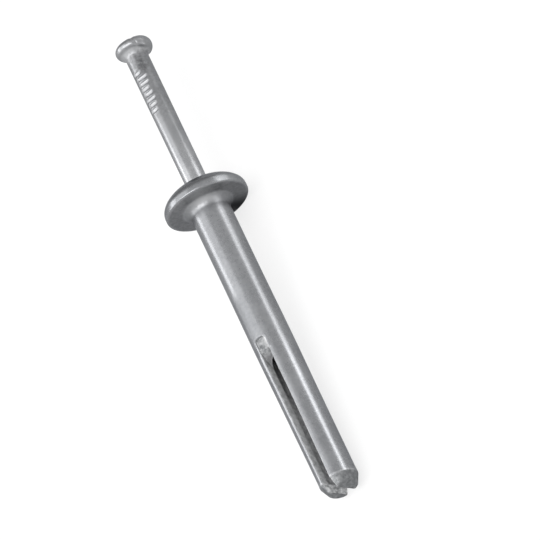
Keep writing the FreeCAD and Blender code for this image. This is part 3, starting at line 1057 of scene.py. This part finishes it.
def steel_finish():
    """Drawn steel wire, thinly plated: dull and smudged below the head, brighter lower down."""
    material, shader = new_material("nail_steel")
    shader.inputs["Metallic"].default_value = NAIL_METALLIC
    shader.inputs["Specular Tint"].default_value = GLANCING_TINT
    mark, dull, smudge, neck, head = attributes("mark", "dull", "smudge", "neck", "head")
    fleck = noise(1900.0, 3.0, 0.65)
    patch = noise(400.0, 3.0, 0.5)
    color = two_tone(mottled(patch, fleck), *STEEL)
    color = two_tone(mark, color, MARK_TONE)
    # Painted light on the flare under the nail head.
    color = two_tone(neck, color, FLARE_PAINTED_LIGHT_TONE)
    color = scale_tone(color, 1 - head * 0.12)
    blot = (smudge * (fleck * 3.2 - 0.6)).clamp()
    shade = (1 - dull * (1 - mark) * (fleck - 0.25).clamp()) * (1 - blot * 0.40)
    Value.plug(shader, "Base Color", scale_tone(color, shade))
    rough = patch * 0.1 + fleck * 0.06 + 0.18 + dull * 0.08 + blot * 0.2
    Value.plug(shader, "Roughness", rough + neck * 0.14 + head * 0.05)
    Value.plug(shader, "Normal", fine_grain())
    return material


# ---- camera, floor and light ----

def add_camera():
    """Long lens square to the picture's plane, aimed so that the seat falls on its own pixel."""
    back = math.cos(TIP_TOWARDS) * NEAR + math.sin(TIP_TOWARDS) * TIPWARD
    run = TIPWARD - (TIPWARD @ back) * back
    run = run / np.linalg.norm(run)
    right = AXIS_RUN[0] * run - AXIS_RUN[1] * RIGHTWARD
    up = AXIS_RUN[1] * run + AXIS_RUN[0] * RIGHTWARD
    scale = MM_PER_PX * MM
    across = (PHOTO_PX / 2 - SEAT_PX[0]) * scale
    down = (PHOTO_PX / 2 - SEAT_PX[1]) * scale
    aim = SEAT * MM + right * across - up * down
    data = bpy.data.cameras.new("camera")
    data.sensor_width = SENSOR_MM
    data.lens = SENSOR_MM * CAMERA_DISTANCE / (PHOTO_PX * scale)
    data.clip_start = 0.01
    camera = bpy.data.objects.new("camera", data)
    turn = Matrix((right, up, back)).transposed().to_4x4()
    camera.matrix_world = Matrix.Translation(Vector(aim + back * CAMERA_DISTANCE)) @ turn
    bpy.context.scene.collection.objects.link(camera)
    bpy.context.scene.camera = camera


def add_floor():
    """Pale floor that keeps the anchor's shadow; the camera sees it white and the metal pale."""
    corners = [(x * FLOOR_HALF, y * FLOOR_HALF, 0) for x, y in ((-1, -1), (1, -1), (1, 1), (-1, 1))]
    mesh = bpy.data.meshes.new("floor")
    mesh.from_pydata(corners, [], [(0, 1, 2, 3)])
    floor = bpy.data.objects.new("floor", mesh)
    bpy.context.scene.collection.objects.link(floor)
    material, shader = new_material("floor")
    shader.inputs["Base Color"].default_value = (*FLOOR_TONE, 1)
    shader.inputs["Roughness"].default_value = 0.9
    rays = add_node("ShaderNodeLightPath").outputs
    mirrored = Value(rays["Is Glossy Ray"])
    seen = mirrored + Value(rays["Is Camera Ray"]) + Value(rays["Is Transmission Ray"])
    pale = two_tone(mirrored, WHITE, MIRRORED_TONE)
    glow = add_node("ShaderNodeEmission", Color=pale, Strength=1.0)
    blend = add_node("ShaderNodeMixShader", Fac=(seen * FLOOR_GLOW).clamp())
    Value.plug(blend, 1, shader.outputs["BSDF"])
    Value.plug(blend, 2, glow.outputs["Emission"])
    Value.plug(material.node_tree.nodes["Material Output"], "Surface", blend.outputs["Shader"])
    mesh.materials.append(material)


def add_lamp(name, towards, distance, size, radiance, slide=0.0):
    """Rectangular lamp of even brightness that way, slid that far along towards the tip."""
    towards = np.array(towards) / np.linalg.norm(towards)
    data = bpy.data.lights.new(name, "AREA")
    data.shape = "RECTANGLE"
    data.size, data.size_y = size
    data.energy = radiance * math.pi * size[0] * size[1]
    lamp = bpy.data.objects.new(name, data)
    along = TIPWARD - (TIPWARD @ towards) * towards
    along = along / np.linalg.norm(along)
    across = np.cross(along, towards)
    turn = Matrix((across, along, towards)).transposed().to_4x4()
    middle = (SEAT + TIPWARD * LAMP_AIM) * MM + towards * distance + along * slide
    lamp.matrix_world = Matrix.Translation(Vector(middle)) @ turn
    lamp.visible_camera = False
    bpy.context.scene.collection.objects.link(lamp)


def mirror_direction(turn):
    """Where a ray from the camera goes after the shank's round at that turn from the near side."""
    across = math.cos(2 * turn) * NEAR + math.sin(2 * turn) * RIGHTWARD
    return math.cos(TIP_TOWARDS) * across - math.sin(TIP_TOWARDS) * TIPWARD


def add_world():
    """Even studio surroundings, dimmer beyond the nail head."""
    world = bpy.data.worlds.new("world")
    bpy.context.scene.world = world
    world.use_nodes = True
    Value.tree = world.node_tree
    place = add_node("ShaderNodeTexCoord").outputs["Generated"]
    headward = add_node("ShaderNodeVectorMath", {"operation": "DOT_PRODUCT"})
    Value.plug(headward, 0, place)
    Value.plug(headward, 1, tuple(-TIPWARD))
    span = {"From_Min": 0.55, "From_Max": 0.85, "To_Min": WORLD_LEVEL, "To_Max": WORLD_DIM}
    dim = add_node("ShaderNodeMapRange", {"interpolation_type": "SMOOTHSTEP"}, **span)
    Value.plug(dim, "Value", headward.outputs["Value"])
    background = world.node_tree.nodes["Background"]
    background.inputs["Color"].default_value = (*WHITE, 1)
    Value.plug(background, "Strength", dim.outputs["Result"])


body = make_body()
nail = make_nail()
body.data.materials.append(zinc_finish())
nail.data.materials.append(steel_finish())
for node in frame["nodes"].values():
    node.data.materials.clear()
    node.data.materials.append(body.data.materials[0])
add_camera()
add_floor()
for lamp_name, highlight, distance, size, radiance, slide in ROUND_LAMPS:
    add_lamp(lamp_name, mirror_direction(math.radians(highlight)), distance, size, radiance, slide)
add_lamp("front_panel", np.array(FRONT_SIDE) @ [NEAR, RIGHTWARD, TIPWARD], 0.6, (0.50, 0.36), 2.8)
add_world()
bpy.context.scene.view_settings.view_transform = "Standard"
